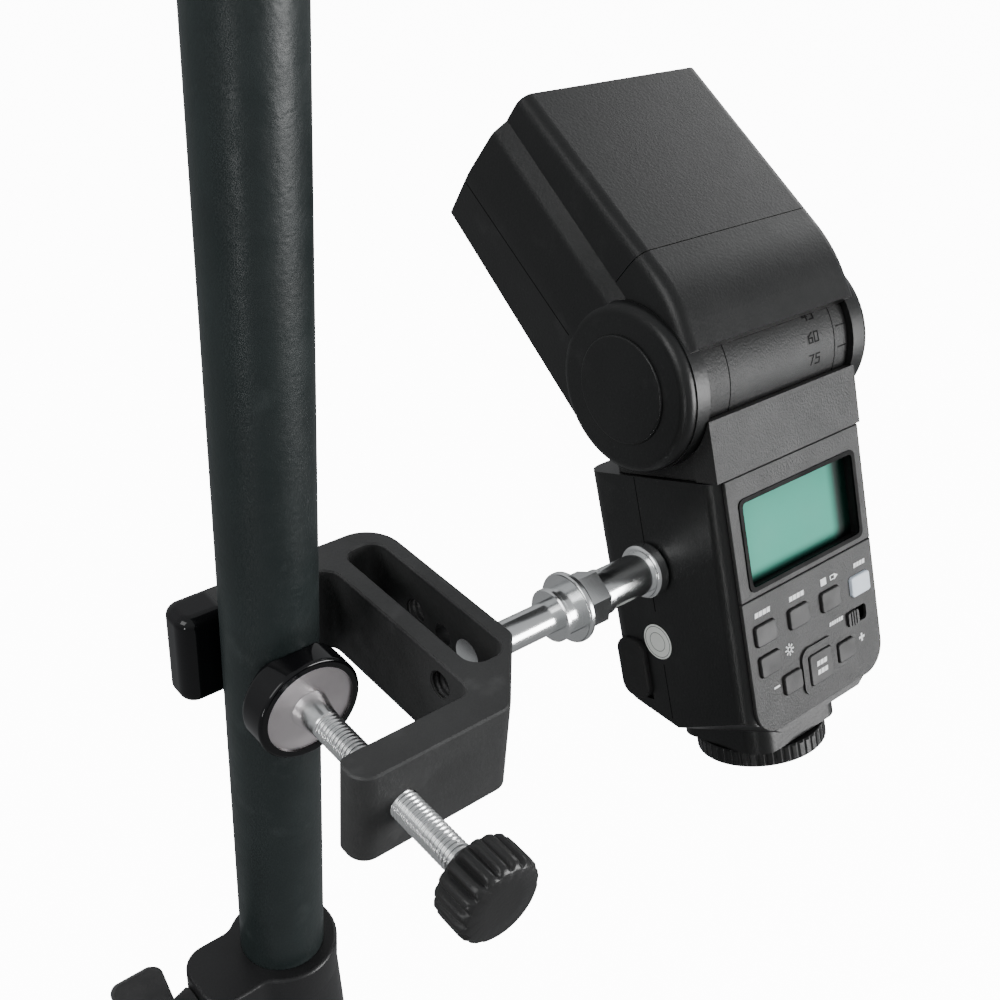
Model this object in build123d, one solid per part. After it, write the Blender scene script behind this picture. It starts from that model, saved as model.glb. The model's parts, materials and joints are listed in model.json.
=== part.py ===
"""Compact C-stand carrying a C-clamp, a chromed spigot and a battery flash unit.

Millimetres, +Z up. The origin is on the column's axis at floor level. +X runs from the
column towards the flash unit, and -Y is the side that the clamp's knob is on.
"""
from build123d import *
from math import cos, pi, radians, sin, tan
import os

os.makedirs("parts", exist_ok=True)

# ---- fits ----
RUN_FIT = 0.05          # radial clearance of a shaft that turns or slides in its hole
AIR_GAP = 0.3           # least gap between bodies that pass each other

# ---- tubes of the stand ----
COLUMN_R, COLUMN_WALL = 17.5, 2.0
RISER_1_R, RISER_1_WALL = 15.0, 1.7
RISER_2_R, RISER_2_WALL = 12.5, 1.5
CLAMP_Z = 500.0                     # height of the clamp's screw above the floor
COLLAR_2_TOP = CLAMP_Z - 106.0
COLLAR_1_TOP = 262.0
COLLAR_H, COLLAR_SEAT = 36.0, 14.0  # whole height, and the part that sits on the lower tube
KNOB_DROP = 11.0                    # wing knob's axis below the collar's top
LOCK_SCREW_R = 3.0
LOBE_W, LOBE_REACH = 23.0, 13.0     # lobe that carries the wing knob
COLUMN_BOTTOM = 10.0
RISER_1_BOTTOM = 132.0
RISER_2_BOTTOM = 205.0
BUSH_H = 8.0
RISER_2_TOP = CLAMP_Z + 172.0
STUD_R, STUD_LENGTH = 8.0, 38.0     # 5/8 inch lighting stud

# ---- turtle base ----
RING_R, RING_H = 26.0, 27.0
RING_Z = (130.0, 102.0, 74.0)       # middle of each leg's ring
LEG_AZIMUTH = (-12.0, 108.0, 228.0)
LEG_REACH = 250.0
LEG_R, LEG_WALL = 9.5, 1.5
LEG_LOW_Z = 13.0                    # height of the tube's axis along the floor
LEG_SLOPE = 52.0
LEG_BEND_R = 24.0
LEG_START, LEG_SHOULDER = 31.0, 58.0
SOCKET_R, SOCKET_END = 12.5, 45.0
FOOT_R, FOOT_LENGTH = 14.0, 34.0

# ---- C-clamp ----
FRAME_H = 27.0
JAW_END_X, SCREW_ARM_END_X = -16.4, -12.5
TENON_X = -7.0                      # the jaw's cap covers the arm beyond this x
SPINE_IN_X, SPINE_OUT_X = 27.2, 50.0
REAR_IN_Y, REAR_OUT_Y = 14.3, 24.2
FRONT_IN_Y, FRONT_OUT_Y = -48.3, -58.3
SLOT_X, SLOT_W, SLOT_CORNER_R = 39.1, 11.8, 4.8
SLOT_Y0, SLOT_Y1 = -41.2, 17.2
SCREW_R = 4.0                       # M8 screw
TAPPED_R = 3.175                    # 1/4 inch thread in the flash unit's insert
PAD_R, PAD_CAP_R = 12.5, 14.8
PAD_FACE_Y, PAD_FRONT_Y, PAD_RIM_Y = -18.2, -12.8, -9.3
FLARE_R, FLARE_END_Y = 7.2, -25.5
KNOB_R, KNOB_BACK_Y, KNOB_FACE_Y = 11.2, -82.9, -94.2
KNOB_FLUTES = 18
SPIGOT_Y = -25.1
SPIGOT_R = 4.7625                   # 3/8 inch rod
SPARE_HOLE_Y, PLAIN_HOLE_Y = -2.0, -14.5
INNER_HOLE_Y, INNER_HOLE_Z = -36.0, 6.5
SPARE_HOLE_R, PLAIN_HOLE_R = 4.0, 3.3

# ---- flash unit, in its own frame: x across, -y towards the display, z up ----
FLASH_X = 115.3                     # side face of the flash unit, against the spigot
FLASH_TILT = 22.35                  # lean of the unit about the spigot's axis
BODY_W = 65.0
BODY_BACK, BODY_FRONT = -30.6, 22.8
BODY_BOTTOM, BODY_TOP = -53.0, 28.6
BODY_HEEL_Y, BODY_HEEL_Z = -1.0, -45.0  # underside rises from here to this height at the front
BODY_WALL = 2.4
BODY_BACK_R, BODY_FRONT_R = 4.6, 7.0   # rounding of the uprights
BUSH_R, BUSH_DEPTH = 7.0, 9.0       # threaded insert that takes the spigot's screw
CELL_R, CELL_Z0, CELL_Z1 = 7.2, -40.0, 10.0
FOOT_Z, SHOE_Z = -64.0, -71.6       # underside of the foot block, and middle of the shoe plate
WHEEL_R, WHEEL_FLUTES = 20.6, 48
PARTING_Y = 1.0
PANEL_T = 1.0                       # display and key panels stand this proud of the shell
PANEL_X0, PANEL_X1 = 3.0, 63.4
PANEL_BREAK_Z = -8.0
PANEL_BOTTOM_Z = -50.6
LCD_X0, LCD_X1, LCD_Z0, LCD_Z1 = 7.8, 59.2, -5.4, 21.4
LCD_DEPTH = 3.6
KEY_TRAVEL = 0.8
KEY_PROUD = 1.0
KEY_CLEAR = 0.2
SWIVEL_Y = -4.0                     # vertical axis that the head turns about
PIVOT_Y, PIVOT_Z = -8.0, 57.0       # horizontal axis that the head tilts about
DRUM_R, DRUM_WALL, DRUM_END = 23.2, 2.5, 3.0
PIVOT_PIN_R, SWIVEL_R = 6.0, 14.0   # tilt pins, and the spindle that the neck turns on
NECK_INSET, NECK_FRONT, NECK_PANEL_TOP = 1.3, 12.0, 46.6
HEAD_TILT = 35.5                    # lean of the head from upright at rest
EAR_R = 25.2
HEAD_LENGTH = 82.4
HEAD_SEAM_Z = 23.6
SHELL_SPLIT = -17.5                 # head frame y where the top covers meet the lower shell
HEAD_SIDE = 7.6                     # lower shell's overhang beyond the body's side
COVER_SIDE = 3.9                    # top covers' overhang
COVER_EDGE_R = 4.0

UP = (Align.CENTER, Align.CENTER, Align.MIN)
MID_X = BODY_W / 2


def rod(radius, z0, z1):
    """Solid cylinder about Z from z0 to z1."""
    return Pos(0, 0, z0) * Cylinder(radius, z1 - z0, align=UP)


def pipe(radius, inner, z0, z1):
    """Hollow cylinder about Z."""
    return rod(radius, z0, z1) - rod(inner, z0 - 1, z1 + 1)


def along_x(shape):
    """Turn a shape built about Z so that its +Z runs along +X."""
    return Rot(0, 90, 0) * shape


def along_y(shape):
    """Turn a shape built about Z so that its +Z runs along -Y."""
    return Rot(90, 0, 0) * shape


def block(x0, x1, y0, y1, z0, z1):
    """Box between two corners."""
    return Pos((x0 + x1) / 2, (y0 + y1) / 2, (z0 + z1) / 2) * Box(x1 - x0, y1 - y0, z1 - z0)


def save(shape, node):
    """Write one sub-part to its STEP file."""
    shape.label = node
    export_step(shape, f"parts/{node}.step")


# ---------------------------------------------------------------- stand
def column_tube():
    return pipe(COLUMN_R, COLUMN_R - COLUMN_WALL, COLUMN_BOTTOM, COLLAR_1_TOP - COLLAR_H + COLLAR_SEAT)


def column_foot():
    """Rubber cap on the column's lower end, resting on the floor."""
    cap = rod(21.5, 0, 34)
    cap = chamfer(cap.edges().filter_by(GeomType.CIRCLE), 1.5)
    return cap - rod(COLUMN_R, COLUMN_BOTTOM, 40)


def leg_ring(index):
    """Cast ring round the column with the socket that holds one leg."""
    z = RING_Z[index]
    bore = COLUMN_R if index == 0 else COLUMN_R + RUN_FIT
    ring = rod(RING_R, z - RING_H / 2, z + RING_H / 2)
    ring = chamfer(ring.edges().filter_by(GeomType.CIRCLE), 1.2)
    socket = Pos(0, 0, z) * along_x(rod(SOCKET_R, 0, SOCKET_END))
    ring = ring + socket
    ring -= rod(bore, z - RING_H, z + RING_H)
    ring -= Pos(0, 0, z) * along_x(rod(LEG_R, LEG_START, SOCKET_END + 1))
    if index == 0:
        ring += Pos(0, 0, z) * Rot(0, 0, 180) * along_x(rod(9, 24, 34))
        ring -= Pos(0, 0, z) * Rot(0, 0, 180) * along_x(rod(LOCK_SCREW_R + RUN_FIT, 10, 40))
        ring -= rod(bore, z - RING_H, z + RING_H)
    return Rot(0, 0, LEG_AZIMUTH[index]) * ring


def leg_route(z):
    """Centre line of one leg: out of the socket, down, then along the floor."""
    low_x = LEG_SHOULDER + (z - LEG_LOW_Z) / tan(radians(LEG_SLOPE))
    points = [
        (LEG_START, 0, z),
        (LEG_SHOULDER, 0, z),
        (low_x, 0, LEG_LOW_Z),
        (LEG_REACH, 0, LEG_LOW_Z),
    ]
    return FilletPolyline(*points, radius=LEG_BEND_R)


def leg_tube(index):
    route = leg_route(RING_Z[index])
    start = Plane(origin=route @ 0, z_dir=route % 0)
    section = start * (Circle(LEG_R) - Circle(LEG_R - LEG_WALL))
    return Rot(0, 0, LEG_AZIMUTH[index]) * sweep(section, path=route)


def leg_foot(index):
    """Rubber boot on the leg's end, flattened underneath."""
    boot = along_x(rod(FOOT_R, LEG_REACH - FOOT_LENGTH + 4, LEG_REACH + 4))
    boot = chamfer(boot.edges().filter_by(GeomType.CIRCLE), 2.0)
    boot = Pos(0, 0, LEG_LOW_Z) * (boot - along_x(rod(LEG_R, 0, LEG_REACH)))
    boot -= block(0, LEG_REACH + 20, -20, 20, -20, 0)
    return Rot(0, 0, LEG_AZIMUTH[index]) * boot


def leg_lock_knob():
    """T-screw that locks the ring stack, opposite the first leg."""
    screw = along_x(rod(LOCK_SCREW_R, COLUMN_R + AIR_GAP, 42))
    hub = along_x(rod(7, 38, 48))
    bar = Pos(52, 0, 0) * Rot(90, 0, 0) * (Cylinder(4, 44))
    bar = chamfer(bar.edges().filter_by(GeomType.CIRCLE), 1.0)
    hub += along_x(rod(5.5, 46, 52))
    knob = Rot(0, 0, 180) * (screw + hub + bar)
    return Rot(0, 0, LEG_AZIMUTH[0]) * Pos(0, 0, RING_Z[0]) * knob


def collar(top, lower_r, upper_r, rim_r):
    """Moulded riser collar: a tapered ring with a lobe on -X for the wing knob."""
    half = LOBE_W / 2
    lobe = Pos(-(rim_r + LOBE_REACH) / 2, 0) * Rectangle(rim_r + LOBE_REACH, LOBE_W)
    lobe = fillet(lobe.vertices().group_by(Axis.X)[0], 8)
    plan = Circle(rim_r) + lobe
    notches = [v for v in plan.vertices() if v.X > -rim_r and abs(abs(v.Y) - half) < 0.01]
    plan = fillet(notches, 6)
    body = extrude(plan, amount=COLLAR_H)
    body = fillet(body.edges().group_by(Axis.Z)[-1], 1.2)
    skirt = Pos(0, 0, COLLAR_H / 2 - 4) * Cone(rim_r + 2.2, rim_r - 0.3, COLLAR_H - 8)
    body = Pos(0, 0, top - COLLAR_H) * (body + skirt)
    body -= rod(upper_r + RUN_FIT, top - COLLAR_H, top + 1)
    body -= rod(lower_r, top - COLLAR_H - 1, top - COLLAR_H + COLLAR_SEAT)
    bore = Pos(0, 0, top - KNOB_DROP) * Rot(0, 0, 180) * along_x(rod(LOCK_SCREW_R + RUN_FIT, 0, 60))
    return body - (bore & block(-80, -upper_r, -20, 20, 0, 999))


def wing_knob(top, tube_r, reach, roll):
    """Screw with a flat two-winged grip, pointing along -X."""
    screw = along_x(rod(LOCK_SCREW_R, tube_r + AIR_GAP, reach + 2))
    hub = along_x(Pos(0, 0, reach) * Cone(7.2, 5.4, 7, align=UP))
    wing = Pos(reach + 12.5, 0, 0) * Box(15, 5, 35.4)
    wing = fillet(wing.edges().filter_by(Axis.Y), 3.0)
    knob = screw + hub + wing
    return Pos(0, 0, top - KNOB_DROP) * Rot(0, 0, 180) * Rot(roll, 0, 0) * knob


def riser_bush(radius, inner, bottom):
    """Nylon slide ring under a riser's lower end."""
    return pipe(radius, inner, bottom - BUSH_H, bottom - 0.1)


def riser_1_tube():
    return pipe(RISER_1_R, RISER_1_R - RISER_1_WALL, RISER_1_BOTTOM, COLLAR_2_TOP - COLLAR_H + COLLAR_SEAT)


def riser_2_tube():
    return pipe(RISER_2_R, RISER_2_R - RISER_2_WALL, RISER_2_BOTTOM, RISER_2_TOP)


def top_stud():
    """5/8 inch stud with a groove, on a plug that closes the riser."""
    plug = rod(RISER_2_R - RISER_2_WALL, RISER_2_TOP - 20, RISER_2_TOP)
    flange = rod(RISER_2_R, RISER_2_TOP, RISER_2_TOP + 6)
    flange = chamfer(flange.edges().group_by(Axis.Z)[-1], 1.2)
    base = RISER_2_TOP + 6
    pin = rod(STUD_R, base, base + STUD_LENGTH)
    pin = chamfer(pin.edges().group_by(Axis.Z)[-1], 1.5)
    pin -= pipe(STUD_R + 1, 6.2, base + 21, base + 27)
    return plug + flange + pin


# ---------------------------------------------------------------- clamp
def clamp_frame():
    """Cast C with a slotted spine. Plan view is drawn about the pole's axis."""
    outline = Polyline(
        (JAW_END_X, REAR_IN_Y), (JAW_END_X, REAR_OUT_Y), (SPINE_OUT_X, REAR_OUT_Y),
        (SPINE_OUT_X, -36.7), (31.2, FRONT_OUT_Y), (SCREW_ARM_END_X, FRONT_OUT_Y),
        (SCREW_ARM_END_X, FRONT_IN_Y), (SPINE_IN_X, FRONT_IN_Y), (SPINE_IN_X, REAR_IN_Y),
        close=True,
    )
    plan = make_face(outline)

    def corner(x, y):
        return plan.vertices().sort_by_distance((x, y, 0))[0]

    for x, y, radius in (
        (SPINE_OUT_X, REAR_OUT_Y, 11.0), (SPINE_OUT_X, -36.7, 4.0), (31.2, FRONT_OUT_Y, 5.0),
        (SCREW_ARM_END_X, FRONT_OUT_Y, 5.0), (SCREW_ARM_END_X, FRONT_IN_Y, 3.0),
        (SPINE_IN_X, FRONT_IN_Y, 4.0), (SPINE_IN_X, REAR_IN_Y, 6.0),
    ):
        plan = fillet(corner(x, y), radius)
    slot = RectangleRounded(SLOT_W, SLOT_Y1 - SLOT_Y0, SLOT_CORNER_R)
    slot = Pos(SLOT_X, (SLOT_Y0 + SLOT_Y1) / 2) * slot
    frame = extrude(plan - slot, amount=FRAME_H / 2, both=True)
    rims = frame.edges().group_by(Axis.Z)
    frame = chamfer(rims[0] + rims[-1], 0.5)
    frame -= along_y(rod(SCREW_R + RUN_FIT, 40, 70))
    for y, radius in ((SPIGOT_Y, SPIGOT_R), (SPARE_HOLE_Y, SPARE_HOLE_R), (PLAIN_HOLE_Y, PLAIN_HOLE_R)):
        frame -= Pos(0, y, 0) * along_x(rod(radius, SLOT_X, SPINE_OUT_X + 1))
    frame -= Pos(0, INNER_HOLE_Y, INNER_HOLE_Z) * along_x(rod(SPARE_HOLE_R, SPINE_IN_X - 1, SLOT_X))
    frame -= block(JAW_END_X - 1, TENON_X, REAR_IN_Y - 1, REAR_OUT_Y + 1, -FRAME_H, FRAME_H)
    return Pos(0, 0, CLAMP_Z) * (frame + jaw_tenon())


def jaw_tenon():
    """Reduced end of the fixed jaw, inside its cap."""
    half = FRAME_H / 2 - 3.5
    return block(JAW_END_X + 3, TENON_X, REAR_IN_Y + 1.5, REAR_OUT_Y - 2.5, -half, half)


def jaw_cap():
    """Rubber-dipped end of the fixed jaw, rounded all over."""
    half = FRAME_H / 2 + 0.5
    cap = block(JAW_END_X - 1.6, TENON_X + 3, -PAD_FRONT_Y, REAR_OUT_Y + 0.8, -half, half)
    cap = fillet(cap.edges().filter_by(Axis.Z).group_by(Axis.X)[0], 4.5)
    cap = fillet(cap.faces().sort_by(Axis.Z)[-1].edges() + cap.faces().sort_by(Axis.Z)[0].edges(), 3.0)
    cap -= jaw_tenon()
    cap -= block(TENON_X, 0, REAR_IN_Y, REAR_OUT_Y, -FRAME_H / 2, FRAME_H / 2)
    return Pos(0, 0, CLAMP_Z) * cap


def pad_disc():
    disc = along_y(rod(PAD_R, 14.6, -PAD_FACE_Y) - rod(2 + RUN_FIT, 15.4, 30))
    return Pos(0, 0, CLAMP_Z) * disc


def pad_cap():
    """Rubber cup round the pressure disc, hollowed to the tube's curve."""
    cup = rod(PAD_CAP_R, -PAD_RIM_Y, -PAD_FACE_Y + 0.7)
    cup = fillet(cup.edges().group_by(Axis.Z)[0], 2.0)
    cup = fillet(cup.edges().group_by(Axis.Z)[-1], 0.9)
    cup -= rod(PAD_R, 14.6, 30)
    cup = along_y(cup) - rod(RISER_2_R + AIR_GAP, -30, 30)
    return Pos(0, 0, CLAMP_Z) * cup


def clamp_screw():
    flare = Pos(0, 0, -PAD_FACE_Y + 0.1) * Cone(FLARE_R, SCREW_R, PAD_FACE_Y - FLARE_END_Y, align=UP)
    shank = rod(SCREW_R, -FLARE_END_Y, -KNOB_BACK_Y)
    tip = rod(2, 15.6, 20)
    return Pos(0, 0, CLAMP_Z) * along_y(flare + shank + tip)


def clamp_knob():
    """Fluted round grip, closed at its outer face."""
    knob = rod(KNOB_R, -KNOB_BACK_Y, -KNOB_FACE_Y)
    knob = chamfer(knob.edges().group_by(Axis.Z)[-1], 1.1)
    knob = chamfer(knob.edges().group_by(Axis.Z)[0], 0.8)
    for turn in range(KNOB_FLUTES):
        angle = 2 * pi * turn / KNOB_FLUTES
        x, y = (KNOB_R + 0.7) * cos(angle), (KNOB_R + 0.7) * sin(angle)
        knob -= Pos(x, y, 0) * rod(1.5, -KNOB_BACK_Y - 1, -KNOB_FACE_Y + 1)
    return Pos(0, 0, CLAMP_Z) * along_y(knob)


def on_spigot(shape):
    """Place a shape built about Z on the spigot's axis, +Z towards the flash unit."""
    return Pos(0, SPIGOT_Y, CLAMP_Z) * along_x(shape)


def spigot_shaft():
    return on_spigot(rod(SPIGOT_R, SLOT_X + SLOT_W / 2, 74.5))


def spigot_body():
    """Turned adaptor: collar, neck, flange, hexagon, cylinder and end flange with its screw."""
    end = FLASH_X - 0.05
    body = chamfer(rod(7.95, 74.5, 76.3).edges(), 0.4)
    body += rod(7.2, 76.3, 80.8)
    flange = rod(10.6, 80.8, 82.9)
    body += fillet(flange.edges().filter_by(GeomType.CIRCLE), 0.7)
    body += Pos(0, 0, 82.9) * extrude(RegularPolygon(8.4, 6), amount=8.6)
    body += rod(6.9, 91.5, 94.5)
    body += rod(6.4, 94.5, 110.5)
    tail = rod(8.35, 110.5, end)
    body += fillet(tail.edges().filter_by(GeomType.CIRCLE), 1.3)
    return on_spigot(body + rod(TAPPED_R, end - 1, FLASH_X + 8))


# ---------------------------------------------------------------- flash unit: body
def in_flash(shape):
    """Move a shape from the flash unit's own frame to its place on the spigot."""
    return Pos(FLASH_X, SPIGOT_Y, CLAMP_Z) * Rot(-FLASH_TILT, 0, 0) * shape


def beyond(origin, normal):
    """Half-space on the far side of a plane."""
    return Plane(origin=origin, z_dir=normal) * Pos(0, 0, 50) * Box(200, 200, 100)


def body_outer():
    """Outside of the body: rounded uprights, a rising underside and two cut lower corners."""
    side = make_face(Polyline(
        (BODY_BACK, BODY_TOP), (BODY_BACK, BODY_BOTTOM), (BODY_HEEL_Y, BODY_BOTTOM),
        (BODY_FRONT, BODY_HEEL_Z), (BODY_FRONT, BODY_TOP), close=True,
    ))
    solid = extrude(Plane.YZ * side, amount=BODY_W)
    solid = fillet(solid.edges().filter_by(Axis.Z).group_by(Axis.Y)[0], BODY_BACK_R)
    solid = fillet(solid.edges().filter_by(Axis.Z).group_by(Axis.Y)[-1], BODY_FRONT_R)
    drop = BODY_HEEL_Z + 1 - BODY_BOTTOM
    reach = BODY_HEEL_Y - BODY_BACK
    for x, way in ((0, -1), (BODY_W, 1)):
        normal = (way * drop * reach, -drop * 14, -14 * reach)
        solid -= beyond((x, BODY_BACK, BODY_HEEL_Z + 1), normal)
    return solid


def body_hollow():
    """Space inside the body."""
    w = BODY_WALL
    space = block(w, BODY_W - w, BODY_BACK + 4.6, BODY_FRONT - w, -42, BODY_TOP - w)
    return space + block(15, 50, BODY_BACK + 4.6, BODY_HEEL_Y, BODY_BOTTOM + w, -41)


def door_space(grow):
    """Outline of the battery door, grown all round."""
    return block(BODY_W - BODY_WALL - 1, BODY_W + 1, -24 - grow, -3.4 + grow, -40 - grow, 14 + grow)


def body_half(front):
    shell = body_outer() - body_hollow()
    keep = block(-9, 99, PARTING_Y, 60, -99, 99) if front else block(-9, 99, -60, PARTING_Y, -99, 99)
    shell = shell & keep
    shell -= along_x(rod(BUSH_R, -1, BUSH_DEPTH))
    shell -= Pos(MID_X, SWIVEL_Y, 0) * rod(SWIVEL_R + RUN_FIT, 0, 60)
    shell -= Pos(MID_X, SWIVEL_Y, 0) * rod(7, BODY_BOTTOM - 1, -40)
    if not front:
        pocket_y = BODY_BACK - 1
        shell -= block(LCD_X0, LCD_X1, pocket_y, BODY_BACK + LCD_DEPTH, LCD_Z0, LCD_Z1)
        shell -= block(5.4, 60, pocket_y, BODY_BACK + 2.2, -46, -13)
        shell -= door_space(AIR_GAP)
        shell -= Pos(BODY_W - 1, -1.6, 0) * rod(1.9, -40 - AIR_GAP, 14 + AIR_GAP)
    else:
        shell -= Pos(0, 14, -35.5) * Rot(0, 90, 0) * Box(20, 12, 2.4)
        shell -= block(MID_X - 19, MID_X + 19, BODY_FRONT - 1.2, 40, -44, -16)
    return in_flash(shell)


def panel(z0, z1, bottom_r):
    """Flat plate on the display side."""
    plate = block(PANEL_X0, PANEL_X1, BODY_BACK - PANEL_T, BODY_BACK, z0, z1)
    if bottom_r:
        plate = fillet(plate.edges().filter_by(Axis.Y).group_by(Axis.Z)[0], bottom_r)
    return chamfer(plate.faces().sort_by(Axis.Y)[0].edges(), 0.25)


def display_panel():
    plate = panel(PANEL_BREAK_Z + 0.25, BODY_TOP, 0)
    hole = block(LCD_X0, LCD_X1, -60, 60, LCD_Z0, LCD_Z1)
    return in_flash(plate - fillet(hole.edges().filter_by(Axis.Y), 1.8))


def display():
    """Liquid-crystal panel at the bottom of its window."""
    y = BODY_BACK + LCD_DEPTH
    return in_flash(block(LCD_X0 + 0.3, LCD_X1 - 0.3, y - 1.2, y, LCD_Z0 + 0.3, LCD_Z1 - 0.3))


# name: (x, z, width, height)
KEYS = {
    "key_mode": (10.9, -19.3, 9.0, 6.4),
    "key_zoom": (25.9, -19.7, 9.0, 6.4),
    "key_sync": (40.9, -20.0, 9.0, 6.4),
    "key_test": (55.4, -20.3, 9.0, 6.4),
    "key_light": (11.2, -29.0, 9.0, 6.4),
    "key_minus": (19.7, -38.4, 8.0, 6.2),
    "key_set": (32.5, -38.4, 10.6, 9.8),
    "key_plus": (45.3, -38.4, 8.0, 6.2),
}
SET_RING_W, SET_RING_H = 16.0, 15.2
SWITCH_X, SWITCH_Z, SWITCH_W, SWITCH_H, SWITCH_TRAVEL = 50.3, -29.8, 5.0, 4.6, 4.5


def plate_cut(x, z, width, height, radius, y0, y1):
    """Rounded rectangular prism through the key panel."""
    cut = block(x - width / 2, x + width / 2, y0, y1, z - height / 2, z + height / 2)
    return fillet(cut.edges().filter_by(Axis.Y), radius)


def keypad_panel():
    plate = panel(PANEL_BOTTOM_Z, PANEL_BREAK_Z, 9.0)
    x, z, _, _ = KEYS["key_set"]
    plate += plate_cut(x, z, SET_RING_W, SET_RING_H, 3.6, BODY_BACK - PANEL_T - 0.7, BODY_BACK)
    grow = 2 * KEY_CLEAR
    for x, z, width, height in KEYS.values():
        plate -= plate_cut(x, z, width + grow, height + grow, 1.3, -60, 60)
    slot_x = SWITCH_X + SWITCH_TRAVEL / 2
    slot_w = SWITCH_W + SWITCH_TRAVEL + grow
    plate -= plate_cut(slot_x, SWITCH_Z, slot_w, SWITCH_H + grow, 1.3, -60, 60)
    return in_flash(plate)


def key(name):
    """Push button with a rounded crown; the middle one stands higher."""
    x, z, width, height = KEYS[name]
    front = BODY_BACK - PANEL_T - KEY_PROUD
    if name == "key_set":
        front -= 0.3
    cap = plate_cut(x, z, width, height, 1.1, front, BODY_BACK + 0.8)
    return in_flash(fillet(cap.faces().sort_by(Axis.Y)[0].edges(), 0.4))


def option_switch():
    front = BODY_BACK - PANEL_T - 0.9
    cap = plate_cut(SWITCH_X, SWITCH_Z, SWITCH_W, SWITCH_H, 0.8, front, BODY_BACK + 1.2)
    for step in (-1.2, 0, 1.2):
        cap -= block(SWITCH_X + step - 0.3, SWITCH_X + step + 0.3, front - 1, front + 0.5, -60, 60)
    return in_flash(cap)


def side_bush():
    """Threaded metal insert that takes the spigot's screw."""
    return in_flash(along_x(rod(BUSH_R, 0, BUSH_DEPTH) - rod(TAPPED_R + RUN_FIT, -1, BUSH_DEPTH - 0.6)))


def port_cover():
    cover = Pos(-0.2, 14, -35.5) * Box(3.0, 12, 20)
    cover = fillet(cover.edges().filter_by(Axis.X), 4.6)
    cover = fillet(cover.faces().sort_by(Axis.X)[0].edges(), 0.9)
    return in_flash(cover & block(-5, 1.2, 0, 40, -60, 0))


def sensor_window():
    """Smooth dark window on the front, over the focus-assist lamp."""
    pane = block(MID_X - 19, MID_X + 19, BODY_FRONT - 1.2, BODY_FRONT + 1.4, -44, -16)
    return in_flash(fillet(pane.faces().sort_by(Axis.Y)[-1].edges(), 0.9))


def battery_door():
    door = door_space(0) & block(BODY_W - 2, BODY_W, -60, 60, -99, 99)
    knuckle = Pos(BODY_W - 1, -1.6, 0) * rod(1.5, -39, 13)
    web = block(BODY_W - 1.6, BODY_W - 0.4, -4, -1.6, -39, 13)
    door += knuckle + web
    for step in range(4):
        z = -32 + 2.2 * step
        door -= block(BODY_W - 0.4, BODY_W + 1, -20, -8, z, z + 0.9)
    return in_flash(door)


def batteries():
    """Four AA cells, two by two."""
    cells = [Pos(x, y, 0) * rod(CELL_R, CELL_Z0, CELL_Z1) for x in (38.5, 53.6) for y in (-15.6, 0.2)]
    return in_flash(Compound(children=cells))


def foot_block():
    """Plastic foot under the body, with the round boss that the locking ring turns on."""
    foot = Pos(MID_X, SWIVEL_Y, (BODY_HEEL_Z + FOOT_Z) / 2) * Box(39, 36, BODY_HEEL_Z - FOOT_Z)
    foot = fillet(foot.edges().filter_by(Axis.Z), 7) - body_outer()
    foot = foot + Pos(MID_X, SWIVEL_Y, 0) * rod(7, BODY_BOTTOM, BODY_BOTTOM + 2.4)
    return in_flash(foot + Pos(MID_X, SWIVEL_Y, 0) * rod(8, SHOE_Z + 1, FOOT_Z))


def lock_wheel():
    """Knurled ring that locks the foot in a camera's shoe."""
    ring = rod(WHEEL_R, -69.9, FOOT_Z - AIR_GAP)
    ring = chamfer(ring.edges().filter_by(GeomType.CIRCLE), 0.5)
    ring -= rod(8 + RUN_FIT, -80, -60)
    for turn in range(WHEEL_FLUTES):
        angle = 2 * pi * turn / WHEEL_FLUTES
        x, y = (WHEEL_R + 0.3) * cos(angle), (WHEEL_R + 0.3) * sin(angle)
        ring -= Pos(x, y, 0) * rod(0.75, -80, -60)
    return in_flash(Pos(MID_X, SWIVEL_Y, 0) * ring)


def hot_shoe():
    """Metal shoe plate with its contact pins."""
    plate = Pos(MID_X, SWIVEL_Y, SHOE_Z) * Box(18.6, 18.0, 2.0)
    plate = fillet(plate.edges().filter_by(Axis.Z), 1.2)
    for x, y in ((0, 0), (-4, -5), (0, -5), (4, -5), (4, 3)):
        plate += Pos(MID_X + x, SWIVEL_Y + y, 0) * rod(1.0, -73.4, -72.0)
    return in_flash(plate)


# ---------------------------------------------------------------- flash unit: neck and head
def at_pivot(shape):
    """Move a shape from the tilt axis's frame to the flash unit's frame."""
    return Pos(0, PIVOT_Y, PIVOT_Z) * shape


def neck_yoke():
    """Turning neck: spindle, plinth, full-width back panel and the drum the head tilts on."""
    base = BODY_TOP + AIR_GAP
    x0, x1 = NECK_INSET, BODY_W - NECK_INSET
    plinth = block(x0, x1, BODY_BACK + 0.4, NECK_FRONT, base, PIVOT_Z - EAR_R - AIR_GAP)
    neck = fillet(plinth.edges().filter_by(Axis.Z).group_by(Axis.Y)[-1], 6)
    neck += block(x0, x1, BODY_BACK + 0.4, PIVOT_Y + 3.5, base, NECK_PANEL_TOP - 0.2)
    back = block(0.4, BODY_W - 0.4, BODY_BACK - PANEL_T, BODY_BACK + 7, base, NECK_PANEL_TOP)
    ear_room = EAR_R + AIR_GAP
    ears_clear = at_pivot(along_x(rod(ear_room, -1, x0) + rod(ear_room, x1, BODY_W + 1)))
    neck += back - ears_clear
    neck += at_pivot(along_x(rod(DRUM_R, x0, x1)))
    neck -= at_pivot(along_x(rod(DRUM_R - DRUM_WALL, x0 + DRUM_END, x1 - DRUM_END)))
    neck -= at_pivot(along_x(rod(PIVOT_PIN_R + RUN_FIT, 0, BODY_W)))
    neck += Pos(MID_X, SWIVEL_Y, 0) * rod(SWIVEL_R, BODY_TOP - 5, base)
    return in_flash(neck)


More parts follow.
